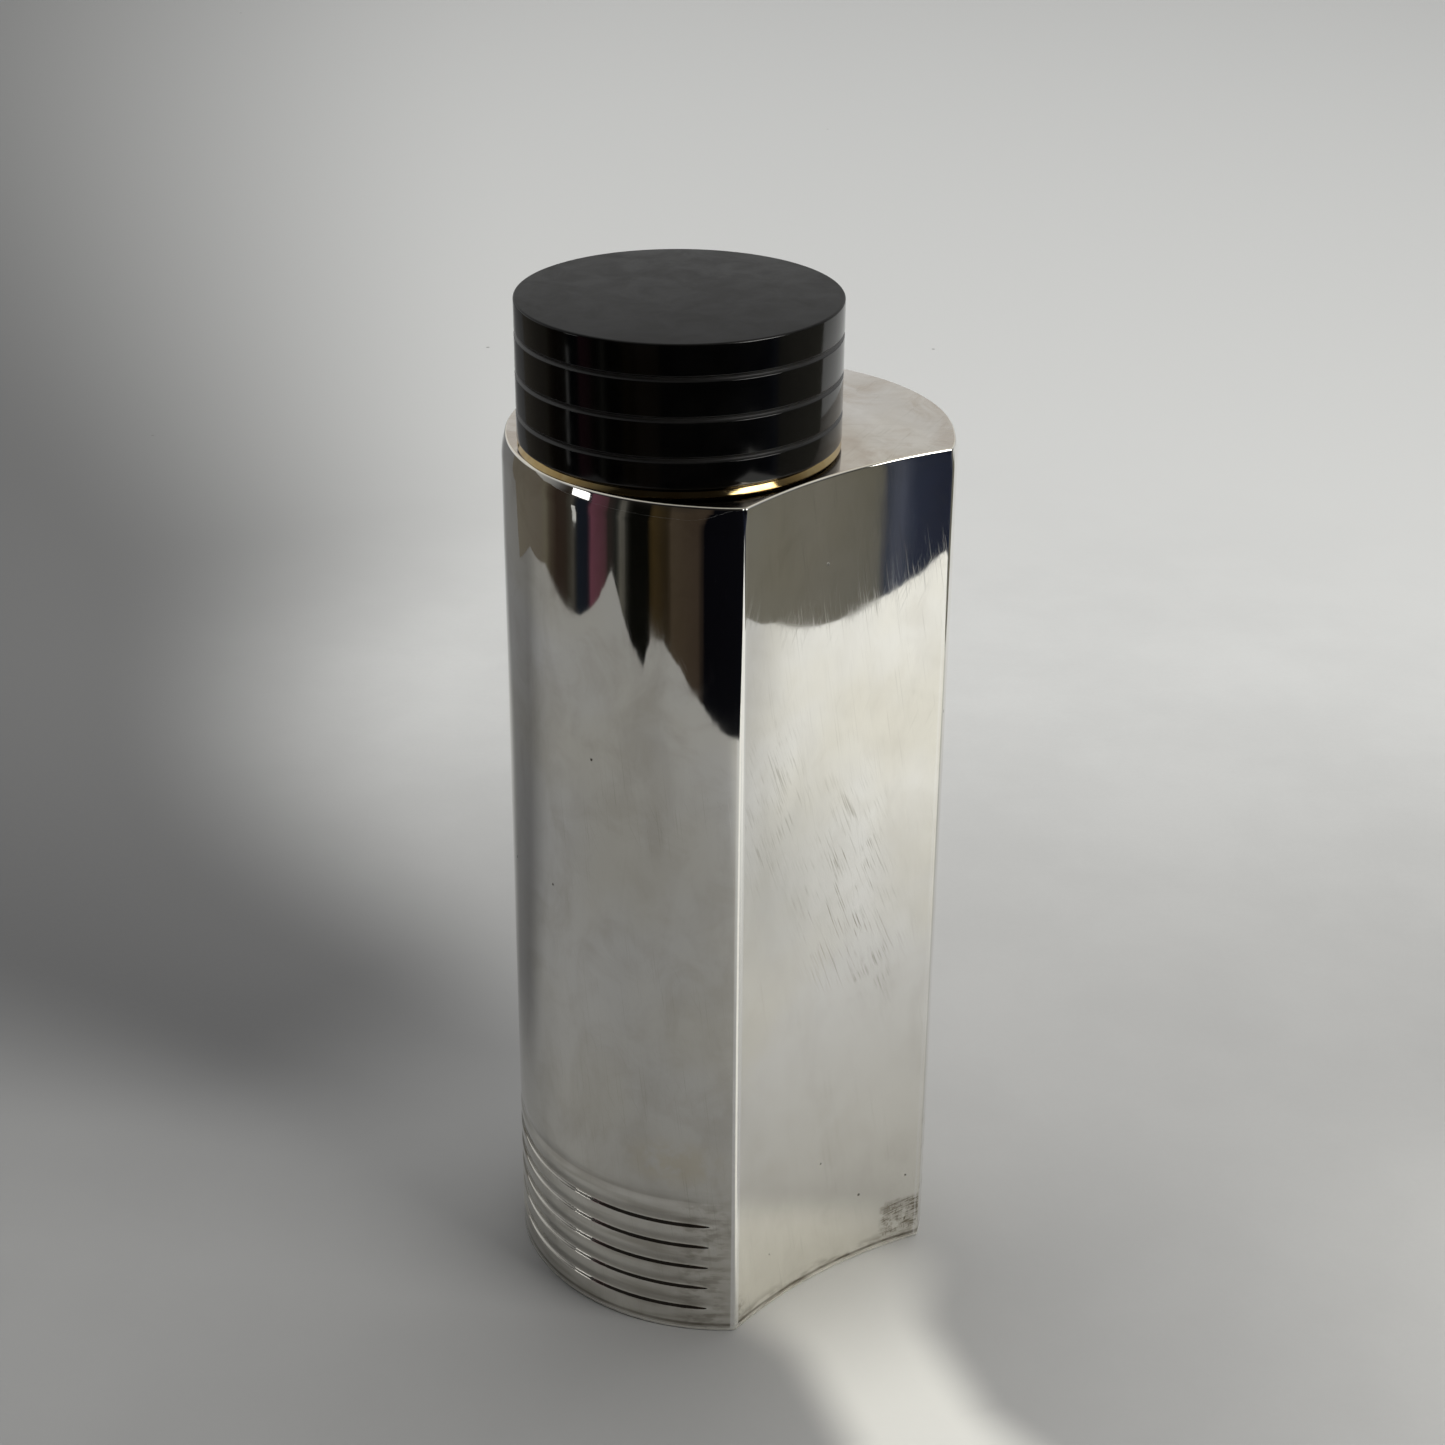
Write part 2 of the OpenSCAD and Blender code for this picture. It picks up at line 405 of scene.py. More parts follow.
# ======================================================================
# material helpers
# ======================================================================
class Nodes:
    """Small helper that builds a node tree from expressions."""

    def __init__(self, name):
        self.mat = bpy.data.materials.new(name)
        self.mat.use_nodes = True
        self.nt = self.mat.node_tree
        self.nt.nodes.clear()
        self.out = self.nt.nodes.new("ShaderNodeOutputMaterial")
        self.coord = None

    def n(self, kind, **props):
        node = self.nt.nodes.new(kind)
        for k, v in props.items():
            setattr(node, k, v)
        return node

    def link(self, a, b):
        self.nt.links.new(a, b)

    def put(self, value, socket):
        if isinstance(value, bpy.types.NodeSocket):
            self.link(value, socket)
        else:
            socket.default_value = value

    def math(self, op, a, b=0.0, c=None, clamp=False):
        m = self.n("ShaderNodeMath", operation=op, use_clamp=clamp)
        self.put(a, m.inputs[0])
        self.put(b, m.inputs[1])
        if c is not None:
            self.put(c, m.inputs[2])
        return m.outputs[0]

    def add(self, *xs):
        t = xs[0]
        for x in xs[1:]:
            t = self.math("ADD", t, x)
        return t

    def mul(self, *xs):
        t = xs[0]
        for x in xs[1:]:
            t = self.math("MULTIPLY", t, x)
        return t

    def ramp(self, x, lo, hi, a=0.0, b=1.0, smooth=True):
        m = self.n("ShaderNodeMapRange", interpolation_type="SMOOTHSTEP" if smooth else "LINEAR")
        self.put(x, m.inputs["Value"])
        m.inputs["From Min"].default_value = lo
        m.inputs["From Max"].default_value = hi
        m.inputs["To Min"].default_value = a
        m.inputs["To Max"].default_value = b
        return m.outputs["Result"]

    def mm(self):
        """Object coordinates in millimetres: (x, y, z) sockets."""
        if self.coord is None:
            tc = self.n("ShaderNodeTexCoord")
            sc = self.n("ShaderNodeVectorMath", operation="SCALE")
            self.link(tc.outputs["Object"], sc.inputs[0])
            sc.inputs["Scale"].default_value = 1000.0
            sep = self.n("ShaderNodeSeparateXYZ")
            self.link(sc.outputs[0], sep.inputs[0])
            self.coord = (sep.outputs[0], sep.outputs[1], sep.outputs[2], sc.outputs[0])
        return self.coord

    def vec(self, x, y, z=0.0):
        c = self.n("ShaderNodeCombineXYZ")
        self.put(x, c.inputs[0])
        self.put(y, c.inputs[1])
        self.put(z, c.inputs[2])
        return c.outputs[0]

    def noise(self, vec, scale, detail=3.0, rough=0.55, w=None, distortion=0.0):
        t = self.n("ShaderNodeTexNoise", noise_dimensions="3D" if w is None else "4D")
        self.put(vec, t.inputs["Vector"])
        t.inputs["Scale"].default_value = scale
        t.inputs["Detail"].default_value = detail
        t.inputs["Roughness"].default_value = rough
        t.inputs["Distortion"].default_value = distortion
        if w is not None:
            t.inputs["W"].default_value = w
        return t.outputs["Fac"]

    def turn(self, u, v, deg, long, short):
        """(u, v) turned by deg, with one axis stretched to make streaks: returns a vector."""
        c, s = math.cos(math.radians(deg)), math.sin(math.radians(deg))
        a = self.add(self.mul(u, c), self.mul(v, s))
        b = self.add(self.mul(u, -s), self.mul(v, c))
        return self.vec(self.mul(a, 1.0 / long), self.mul(b, 1.0 / short))

    def streaks(self, u, v, deg, long, short, lo, hi, w):
        """Hairline scratches: a noise stretched along one direction and cut near its crests."""
        x = self.noise(self.turn(u, v, deg, long, short), 1.0, 2.0, 0.5, w=w)
        return self.ramp(x, lo, hi)

    def blob(self, u, v, cu, cv, ru, rv, soft=0.5):
        """1 inside an ellipse round (cu, cv), falling to 0 outside."""
        a = self.mul(self.add(u, -cu), 1.0 / ru)
        b = self.mul(self.add(v, -cv), 1.0 / rv)
        d = self.math("SQRT", self.add(self.mul(a, a), self.mul(b, b)))
        return self.ramp(d, 1.0 + soft, 1.0 - soft)

    def mix(self, f, a, b):
        m = self.n("ShaderNodeMix", data_type="RGBA")
        self.put(f, m.inputs[0])
        for v, s in ((a, m.inputs[6]), (b, m.inputs[7])):
            if isinstance(v, bpy.types.NodeSocket):
                self.link(v, s)
            else:
                s.default_value = (*v, 1.0)
        return m.outputs[2]

    def bump(self, height, strength, distance, normal=None):
        b = self.n("ShaderNodeBump")
        b.inputs["Strength"].default_value = strength
        b.inputs["Distance"].default_value = distance
        self.put(height, b.inputs["Height"])
        if normal is not None:
            self.link(normal, b.inputs["Normal"])
        return b.outputs["Normal"]

    def principled(self, color, rough, normal=None, metallic=1.0, **consts):
        p = self.n("ShaderNodeBsdfPrincipled")
        self.put(color if isinstance(color, bpy.types.NodeSocket) else (*color, 1.0), p.inputs["Base Color"])
        self.put(rough, p.inputs["Roughness"])
        self.put(metallic, p.inputs["Metallic"])
        for k, v in consts.items():
            p.inputs[k].default_value = v
        if normal is not None:
            self.link(normal, p.inputs["Normal"])
        self.link(p.outputs[0], self.out.inputs["Surface"])
        return self.mat


SILVER = (0.945, 0.94, 0.92)
SILVER_WARM = (0.90, 0.87, 0.775)


def silver(name, where):
    """Old polished silver plate. where: wall, panel, top or base."""
    m = Nodes(name)
    x, y, z, p = m.mm()
    if where == "wall":
        u = m.mul(m.math("ARCTAN2", x, y), R)
        v = z
    elif where == "panel":
        u, v = x, z
    else:
        u, v = x, y
    # slow drifts in tone and gloss
    slow = m.noise(p, 0.028, 3.0, 0.5)
    cloud = m.noise(p, 0.10, 5.0, 0.62, distortion=0.7)
    smear = m.noise(m.vec(m.mul(u, 0.10), m.mul(v, 0.035)), 1.0, 4.0, 0.6, distortion=0.5)
    fine = m.noise(p, 0.9, 3.0, 0.6)
    # hairlines
    torn = m.ramp(m.noise(p, 0.16, 3.0, 0.6), 0.36, 0.62)
    if where == "wall":
        h1 = m.streaks(u, v, 84, 18, 0.13, 0.62, 0.70, 1.3)
        h2 = m.streaks(u, v, 64, 14, 0.12, 0.64, 0.72, 4.1)
        h3 = m.streaks(u, v, 12, 16, 0.13, 0.67, 0.76, 7.7)
        where_h = m.mul(m.ramp(m.noise(p, 0.05, 2.0, 0.5), 0.42, 0.62), m.ramp(v, 132, 112, 0.10, 1.0))
        hair = m.mul(m.math("MAXIMUM", m.math("MAXIMUM", h1, h2), m.mul(h3, 0.5)), where_h)
        gloss_hair = m.mul(hair, 0.030)
    elif where == "panel":
        h1 = m.streaks(u, v, 112, 9, 0.24, 0.545, 0.63, 2.2)
        h2 = m.streaks(u, v, 100, 16, 0.13, 0.63, 0.72, 5.5)
        h3 = m.streaks(u, v, 64, 10, 0.13, 0.64, 0.74, 9.1)
        patch = m.math("MAXIMUM", m.blob(u, v, 3, 88, 11, 20, 0.55), m.mul(m.blob(u, v, -15, 110, 8, 17, 0.5), 0.65))
        patch = m.math("MAXIMUM", patch, m.mul(m.blob(u, v, 10, 70, 7, 14, 0.5), 0.9))
        h0 = m.streaks(u, v, 97, 7, 0.16, 0.60, 0.68, 6.6)
        near_top = m.mul(m.blob(u, v, 6, 147, 20, 7, 0.5), h0)
        hair = m.math("MAXIMUM", m.mul(h1, patch, torn), m.mul(m.math("MAXIMUM", h2, h3), 0.35))
        gloss_hair = m.add(m.mul(hair, 0.02), m.mul(near_top, 0.06))
    else:
        h1 = m.streaks(u, v, 25, 14, 0.16, 0.61, 0.70, 3.3)
        h2 = m.streaks(u, v, -38, 16, 0.16, 0.62, 0.71, 6.4)
        h3 = m.streaks(u, v, 80, 12, 0.15, 0.64, 0.73, 8.2)
        hair = m.math("MAXIMUM", m.math("MAXIMUM", h1, h2), h3)
        gloss_hair = m.mul(hair, 0.10)
    # pits
    vo = m.n("ShaderNodeTexVoronoi", feature="F1")
    m.link(p, vo.inputs["Vector"])
    vo.inputs["Scale"].default_value = 0.085
    vo.inputs["Randomness"].default_value = 1.0
    pit = m.ramp(vo.outputs["Distance"], 0.034, 0.020)
    # colour
    warm = m.ramp(slow, 0.38, 0.66)
    if where in ("wall", "panel"):
        warm = m.math("MAXIMUM", m.mul(warm, 0.75), m.mul(m.ramp(z, 85, 8), 0.75))
    col = m.mix(warm, SILVER, SILVER_WARM)
    dusk = m.ramp(cloud, 0.42, 0.74)
    col = m.mix(m.mul(dusk, 0.15 if where == "panel" else 0.30), col, (0.56, 0.52, 0.44))
    col = m.mix(m.mul(m.ramp(smear, 0.46, 0.66), 0.12 if where == "panel" else 0.30), col, (0.56, 0.53, 0.47))
    rough = m.add(0.026, m.mul(m.ramp(cloud, 0.45, 0.80), 0.035), m.mul(m.ramp(smear, 0.45, 0.7), 0.030),
                  gloss_hair, m.mul(m.ramp(fine, 0.55, 0.8), 0.010))
    if where == "wall":
        col = m.mix(m.mul(m.ramp(v, 136, 96), 0.34), col, (0.50, 0.49, 0.455))
        # yellowed patch low on the front, old polish left over the grooved band and at the groove ends, and painted
        # shade in the grooves
        stain = m.mul(m.blob(u, v, -91, 38.5, 8, 4.5, 0.6), m.ramp(m.noise(p, 0.25, 3.0), 0.30, 0.55))
        stain2 = m.mul(m.blob(u, v, 60, 52, 8, 6, 0.6), m.ramp(m.noise(p, 0.25, 3.0), 0.35, 0.6))
        col = m.mix(m.mul(m.math("MAXIMUM", stain, stain2), 0.36), col, (0.66, 0.57, 0.38))
        low = m.ramp(v, 34, 26)
        grime = m.mul(low, m.ramp(m.noise(m.vec(m.mul(u, 0.05), m.mul(v, 0.45), 0.0), 1.0, 2.0, 0.5), 0.46, 0.72))
        col = m.mix(m.mul(grime, 0.42), col, (0.27, 0.24, 0.18))
        ends = m.mul(low, m.ramp(m.math("ABSOLUTE", m.add(m.math("ABSOLUTE", u), -96.5)), 7.0, 2.0),
                     m.ramp(m.noise(m.vec(m.mul(u, 0.22), m.mul(v, 0.6), 0.0), 1.0, 3.0, 0.6), 0.44, 0.62))
        col = m.mix(m.mul(ends, 0.42), col, (0.22, 0.19, 0.14))
        # painted reflection: the upper slope of each groove faces down and is darkened for the shaded floor it would
        # mirror
        turn = m.math("FRACT", m.mul(m.add(z, -5.6), 1 / 4.8))
        groove_slope_shade = m.mul(m.ramp(turn, 0.0, 0.07), m.ramp(turn, 0.52, 0.22), m.ramp(z, 31.5, 29.5), m.ramp(z, 5.2, 5.8),
                      m.ramp(m.math("ABSOLUTE", u), 101, 93), m.add(0.75, m.mul(m.noise(m.vec(m.mul(u, 0.05), m.mul(v, 0.2)), 1.0, 2.0), 0.4)))
        col = m.mix(m.mul(groove_slope_shade, 0.40), col, (0.36, 0.34, 0.29))
    if where == "panel":
        dull = m.mul(m.blob(u, v, -13, 98, 14, 16, 0.8), m.add(0.7, m.mul(smear, 0.6)))
        col = m.mix(m.mul(dull, 0.40), col, (0.50, 0.49, 0.45))
        # worn, browned patch in the lower right corner, tarnish in the left one and along the foot
        box = m.mul(m.ramp(m.math("ABSOLUTE", m.add(u, -21.5)), 7.0, 5.2), m.ramp(m.math("ABSOLUTE", m.add(v, -6.6)), 4.6, 3.2))
        hatch = m.math("MAXIMUM", m.ramp(m.noise(m.turn(u, v, 8, 3.2, 0.34), 1.0, 3.0, 0.6, w=1.2), 0.46, 0.60),
                       m.ramp(m.noise(m.turn(u, v, 84, 2.4, 0.36), 1.0, 3.0, 0.6, w=3.7), 0.52, 0.66))
        torn_box = m.ramp(m.noise(p, 0.45, 3.0, 0.6), 0.36, 0.54)
        t1 = m.mul(box, torn_box, m.add(0.30, m.mul(hatch, 0.75)))
        t2 = m.mul(m.blob(u, v, -26, 3.0, 4.0, 4.5, 0.6), m.ramp(m.noise(p, 0.7, 4.0, 0.7), 0.40, 0.60))
        foot = m.mul(m.ramp(v, 4.6, 1.3), m.ramp(m.noise(m.vec(m.mul(u, 0.16), m.mul(v, 0.5)), 1.0, 3.0), 0.42, 0.62))
        tarnish_and_edge_reflection = m.math("MAXIMUM", m.math("MAXIMUM", t1, t2), m.mul(foot, 0.7))
        # painted reflection: a dark line down the right edge, where the rounding would mirror something dark
        edge_dark_reflection = m.mul(m.ramp(x, EDGE_C[0] + 0.35, EDGE_C[0] + 0.75), m.add(0.4, m.mul(m.noise(p, 0.10, 2.0), 0.6)))
        tarnish_and_edge_reflection = m.math("MAXIMUM", tarnish_and_edge_reflection, m.mul(edge_dark_reflection, 0.8))
        col = m.mix(m.mul(tarnish_and_edge_reflection, 0.86), col, (0.22, 0.185, 0.125))
        rough = m.add(rough, m.mul(tarnish_and_edge_reflection, 0.22), m.mul(patch, 0.020))
    if where in ("top", "base"):
        film = m.ramp(m.noise(p, 0.075, 4.0, 0.6, distortion=0.8), 0.42, 0.66)
        col = m.mix(m.add(0.38, m.mul(film, 0.42)), col, (0.56, 0.48, 0.39))
        nx = m.add(x, -NECK_X)
        from_ring = m.math("SQRT", m.add(m.mul(nx, nx), m.mul(y, y)))
        # painted reflection: darker, bronze colour round the neck ring, for the dark cap and gilt ring that the top
        # would mirror
        col = m.mix(m.mul(m.ramp(from_ring, 36.0, 29.5), 0.35), col, (0.48, 0.39, 0.29))
        rough = m.add(m.mul(m.ramp(from_ring, 29.0, 38.0), 0.11), m.mul(rough, 0.8), m.mul(film, m.ramp(from_ring, 28.5, 36.0), 0.12))
    col = m.mix(m.mul(hair, 0.78 if where == "panel" else 0.34), col, (0.34, 0.32, 0.26))
    col = m.mix(m.mul(pit, 0.85), col, (0.10, 0.09, 0.07))
    if where in ("wall", "panel"):
        # dirt in the seam over the base plate
        seam = m.mul(m.ramp(m.math("ABSOLUTE", m.add(z, -1.45)), 0.45, 0.15), m.add(0.35, m.mul(m.noise(p, 0.18, 2.0), 0.9)))
        col = m.mix(m.mul(seam, 0.75), col, (0.12, 0.10, 0.07))
        rough = m.add(rough, m.mul(seam, 0.2))
    rough = m.math("MINIMUM", m.add(rough, m.mul(pit, 0.5)), 0.8)
    if where in ("wall", "panel"):
        # the upright edges, the rim and the foot are rubbed and rougher, and their paler colour is a painted highlight
        ex = m.add(m.math("ABSOLUTE", x), -EDGE_C[0])
        ey = m.add(y, -EDGE_C[1])
        d = m.math("SQRT", m.add(m.mul(ex, ex), m.mul(ey, ey)))
        edge = m.mul(m.ramp(d, EDGE_R + 0.13, EDGE_R + 0.02), m.add(0.7, m.mul(fine, 0.5)))
        col = m.mix(m.mul(edge, m.ramp(x, EDGE_C[0], EDGE_C[0] - 1.0), 0.9), col, (0.99, 0.985, 0.96))
        foot_rub_highlight = m.mul(m.ramp(z, 0.95, 0.55), m.add(0.6, m.mul(fine, 0.4)))
        rim = m.ramp(z, H - 0.26, H - 0.10)
        col = m.mix(foot_rub_highlight, col, (0.97, 0.95, 0.89))
        col = m.mix(m.mul(rim, 0.8), col, (0.97, 0.90, 0.74))
        wr = m.math("MAXIMUM", foot_rub_highlight, m.mul(rim, 0.45))
        rough = m.add(m.mul(rough, m.math("SUBTRACT", 1.0, wr, clamp=True)), m.mul(wr, 0.44))
    # relief: the sheet's slow waves, upright draw lines, hairlines and pits
    waves = m.noise(p, 0.035, 2.0, 0.45)
    n1 = m.bump(waves, 1.0, 0.00010)
    if where == "wall":
        lines = m.noise(m.vec(m.mul(u, 0.20), m.mul(v, 0.006), 0.0), 1.0, 3.0, 0.55)
        n1 = m.bump(lines, 1.0, 0.000020, n1)
    if where == "panel":
        lines = m.noise(m.vec(m.mul(u, 0.13), m.mul(v, 0.02), 0.0), 1.0, 3.0, 0.55)
        n1 = m.bump(lines, 1.0, 0.000012, n1)
    relief = m.add(m.mul(hair, -0.25), m.mul(pit, -1.0))
    if where == "panel":
        relief = m.add(relief, m.mul(box, hatch, -0.9))
    n2 = m.bump(relief, 0.35, 0.00003, n1)
    if where == "panel":
        return m.principled(col, rough, n2, metallic=m.add(0.99, m.mul(m.ramp(z, 116, 62), m.ramp(z, 6, 34), -0.23)))
    return m.principled(col, rough, n2)


def gilt(name, tone=1.0):
    m = Nodes(name)
    x, y, z, p = m.mm()
    ang = m.mul(m.math("ARCTAN2", y, m.add(x, -NECK_X)), 26.0)
    turn = m.noise(m.vec(m.mul(ang, 0.02), m.mul(z, 5.0)), 1.0, 3.0, 0.6)
    cloud = m.noise(p, 0.22, 4.0, 0.6)
    col = m.mix(m.ramp(cloud, 0.35, 0.70), [tone * c for c in (0.96, 0.74, 0.36)],
                [tone * c for c in (0.80, 0.55, 0.22)])
    col = m.mix(m.mul(m.ramp(m.noise(p, 0.7, 4.0, 0.7), 0.58, 0.78), 0.45), col, [tone * c for c in (0.34, 0.21, 0.09)])
    rough = m.add(0.055, m.mul(m.ramp(turn, 0.4, 0.7), 0.05), m.mul(m.ramp(cloud, 0.5, 0.8), 0.06))
    return m.principled(col, rough, m.bump(turn, 0.6, 0.000006))


def black_cap(name, spec):
    m = Nodes(name)
    x, y, z, p = m.mm()
    dx = m.add(x, -NECK_X)
    rad = m.math("SQRT", m.add(m.mul(dx, dx), m.mul(y, y)))
    on_top = m.mul(m.ramp(z, CAP_Z1 - 0.30, CAP_Z1 - 0.12), m.ramp(rad, CAP_R + 0.4, CAP_R - 0.4))
    cloud = m.noise(p, 0.16, 5.0, 0.65, distortion=0.5)
    grain = m.noise(p, 2.6, 3.0, 0.6)
    ang = m.mul(m.math("ARCTAN2", y, dx), CAP_R)
    rub = m.streaks(ang, z, 3, 14, 0.13, 0.66, 0.76, 2.7)
    scuff = m.math("MAXIMUM", m.streaks(x, y, 35, 10, 0.15, 0.66, 0.75, 1.9), m.streaks(x, y, -50, 12, 0.15, 0.67, 0.76, 6.1))
    base = m.mix(m.ramp(cloud, 0.35, 0.75), (0.0012, 0.0012, 0.0012), (0.0030, 0.0029, 0.0027))
    topc = m.mix(m.ramp(cloud, 0.35, 0.70), (0.0065, 0.0065, 0.0063), (0.0110, 0.0107, 0.0100))
    col = m.mix(on_top, base, topc)
    col = m.mix(m.mul(scuff, on_top, 0.25), col, (0.05, 0.05, 0.048))
    # the rings are a lighter grey and rougher
    ring_grey = 0.0
    for i in range(3):
        zc = CAP_Z1 - 6.0 - 7.05 * i
        d = m.math("ABSOLUTE", m.add(z, -zc))
        ring_grey = m.math("MAXIMUM", ring_grey, m.ramp(d, 0.55, 0.15))
    ring_grey = m.mul(ring_grey, m.ramp(rad, CAP_R - 0.02, CAP_R - 0.25), m.add(0.45, m.mul(m.noise(p, 0.12, 3.0), 0.5)))
    col = m.mix(m.mul(ring_grey, 0.40), col, (0.050, 0.048, 0.046))
    rough_side = m.add(0.085, m.mul(m.ramp(cloud, 0.4, 0.8), 0.06), m.mul(rub, 0.10), m.mul(ring_grey, 0.35))
    rough_top = m.add(0.36, m.mul(m.ramp(cloud, 0.3, 0.75), 0.10), m.mul(scuff, 0.06))
    rough = m.add(m.mul(rough_side, m.math("SUBTRACT", 1.0, on_top)), m.mul(rough_top, on_top))
    h = m.add(m.mul(grain, m.add(0.15, m.mul(on_top, 0.85))), m.mul(scuff, on_top, -0.5))
    return m.principled(col, rough, m.bump(h, 0.30, 0.00002), metallic=0.0, IOR=1.46, **{"Specular IOR Level": spec})


def cork_mat(name):
    m = Nodes(name)
    x, y, z, p = m.mm()
    vo = m.n("ShaderNodeTexVoronoi", feature="F1")
    m.link(p, vo.inputs["Vector"])
    vo.inputs["Scale"].default_value = 0.55
    cell = m.n("ShaderNodeSeparateXYZ")
    m.link(vo.outputs["Color"], cell.inputs[0])
    grain = m.noise(p, 1.6, 4.0, 0.65)
    col = m.mix(cell.outputs[0], (0.50, 0.31, 0.15), (0.67, 0.46, 0.26))
    col = m.mix(m.ramp(vo.outputs["Distance"], 0.55, 0.75), col, (0.20, 0.11, 0.05))
    col = m.mix(m.mul(m.ramp(grain, 0.6, 0.75), 0.5), col, (0.16, 0.09, 0.04))
    rough = m.add(0.78, m.mul(grain, 0.15))
    h = m.add(m.mul(grain, 0.6), m.mul(cell.outputs[0], 0.4))
    return m.principled(col, rough, m.bump(h, 0.8, 0.00018), metallic=0.0)


def solder_mat(name):
    m = Nodes(name)
    x, y, z, p = m.mm()
    cloud = m.noise(p, 0.5, 4.0, 0.65, distortion=0.6)
    col = m.mix(m.ramp(cloud, 0.35, 0.7), (0.55, 0.54, 0.51), (0.36, 0.34, 0.30))
    rough = m.add(0.34, m.mul(cloud, 0.25))
    return m.principled(col, rough, m.bump(cloud, 0.6, 0.0002))


# ======================================================================
# the pieces
# ======================================================================
MAT_WALL = silver("silver_wall", "wall")
MAT_PANEL = silver("silver_panel", "panel")
MAT_TOP = silver("silver_top", "top")
MAT_BASE = silver("silver_base", "base")
MAT_GILT = gilt("gilt")
# painted shade: the neck ring's gilt is a copy at half brightness, darkened for the shade under the cap
MAT_RING_SHADED = gilt("gilt_ring_shaded", 0.50)
MAT_CAP = black_cap("black_cap", 0.48)
MAT_CAP_TOP = black_cap("black_cap_top", 0.13)
MAT_CORK = cork_mat("cork")
MAT_SOLDER = solder_mat("solder")


def finish_piece(ob, mat, body, node):
    for x in mat if isinstance(mat, tuple) else (mat,):
        ob.data.materials.append(x)
    if isinstance(mat, tuple):  # flat face, round side, concave side
        for f in ob.data.polygons:
            if abs(f.normal.z) > 0.90 or math.hypot(f.center.x - NECK_X * MM, f.center.y) < (NECK_R + 0.1) * MM:
                f.material_index = 0
            else:
                f.material_index = 1 if math.hypot(f.center.x, f.center.y) > (R - 1.3) * MM else 2
    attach(ob, body)
    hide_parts(node)
    return ob


Z0, Z1 = PLATE, H - PLATE
wall = sweep("wall_round", wall_plan(), rows(Z0, Z1, True), list(reversed(rows(Z0, Z1, True, 4))), groove=True)
finish_piece(wall, MAT_WALL, "canister", "round_wall")
panel = sweep("panel_concave", nest_plan(), rows(Z0, Z1, False), list(reversed(rows(Z0, Z1, False))))
finish_piece(panel, MAT_PANEL, "canister", "concave_panel")
top = plate("plate_top", True, True)
finish_piece(top, (MAT_TOP, MAT_WALL, MAT_PANEL), "canister", "top_plate")
base = plate("plate_base", False, False)
finish_piece(base, (MAT_BASE, MAT_WALL, MAT_PANEL), "canister", "base_plate")

z_fl = Z1 - NECK_T - 0.03
neck_prof = rounded(
    [(NECK_R - NECK_T, z_fl), (NECK_R + 2.4, z_fl), (NECK_R + 2.4, z_fl + NECK_T), (NECK_R, z_fl + NECK_T),
     (NECK_R, NECK_Z1), (NECK_R - NECK_T, NECK_Z1)],
    [0.3, 0.2, 0.2, 0.0, 0.35, 0.35])
neck = lathe("neck_gilt", neck_prof)
finish_piece(neck, MAT_GILT, "canister", "neck_tube")

ri, ro = NECK_R + 0.03, NECK_R + 0.03 + RING_W
ring_prof = rounded(
    [(ri, H), (ro, H), (ro, H + 0.06), (ro - 0.82, H + RING_H), (ri, H + RING_H)],
    [0.0, 0.0, 0.05, 0.25, 0.3], n=8)
ring_ = lathe("neck_ring_gilt", ring_prof)
finish_piece(ring_, MAT_RING_SHADED, "canister", "neck_ring")

# Cap: a turned shell, three cut rings with softened lips, satin top.
side = [(BORE_R, CAP_Z0), (CAP_R, CAP_Z0)]
side_r = [0.25, 0.45]
for i in (2, 1, 0):
    zc = CAP_Z1 - 6.0 - 7.05 * i
    side += [(CAP_R, zc - 0.55), (CAP_R - 0.45, zc - 0.12), (CAP_R - 0.45, zc + 0.12), (CAP_R, zc + 0.55)]
    side_r += [0.16, 0.10, 0.10, 0.16]
side += [(CAP_R, CAP_Z1), (0.0, CAP_Z1), (0.0, CORK_Z1), (BORE_R, CORK_Z1)]
side_r += [0.42, 0.0, 0.0, 0.3]
cap = lathe("cap_black", rounded(side, side_r), seg=360, angle=28)
finish_piece(cap, MAT_CAP, "cap", "cap_shell")
cap.data.materials.append(MAT_CAP_TOP)
for f in cap.data.polygons:
    if f.center.z > (CAP_Z1 - 0.2) * MM:
        f.material_index = 1

sleeve_prof = rounded(
    [(SLEEVE_RI, CAP_Z0 + 0.4), (SLEEVE_RI + SLEEVE_T, CAP_Z0 + 0.4), (SLEEVE_RI + SLEEVE_T, CORK_Z0 - 0.03), (SLEEVE_RI, CORK_Z0 - 0.03)],
    [0.3, 0.1, 0.1, 0.1])
sleeve = lathe("cap_sleeve_gilt", sleeve_prof)
finish_piece(sleeve, MAT_GILT, "cap", "cap_sleeve")

cork_prof = rounded(
    [(0.0, CORK_Z0), (BORE_R - 0.1, CORK_Z0), (BORE_R - 0.1, CORK_Z1 - 0.05), (0.0, CORK_Z1 - 0.05)],
    [0.0, 0.35, 0.2, 0.0])
cork = lathe("cork_disc_pressed", cork_prof)
finish_piece(cork, MAT_CORK, "cork", "cork_disc")

for n in ("corner_fillets", "neck_fillet"):
    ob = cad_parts[n]
    for s in ob.material_slots:
        s.material = MAT_SOLDER
    if not ob.material_slots:
        ob.data.materials.append(MAT_SOLDER)

# ======================================================================
# stage: pale floor, soft light, and a dark room in front that only mirrors see
# ======================================================================
def rz(deg_rad):
    return Matrix.Rotation(deg_rad, 4, "Z")


def photo_frame(ob, extra=0.0):
    ob.matrix_world = rz(PHOTO_TURN + extra) @ ob.matrix_world


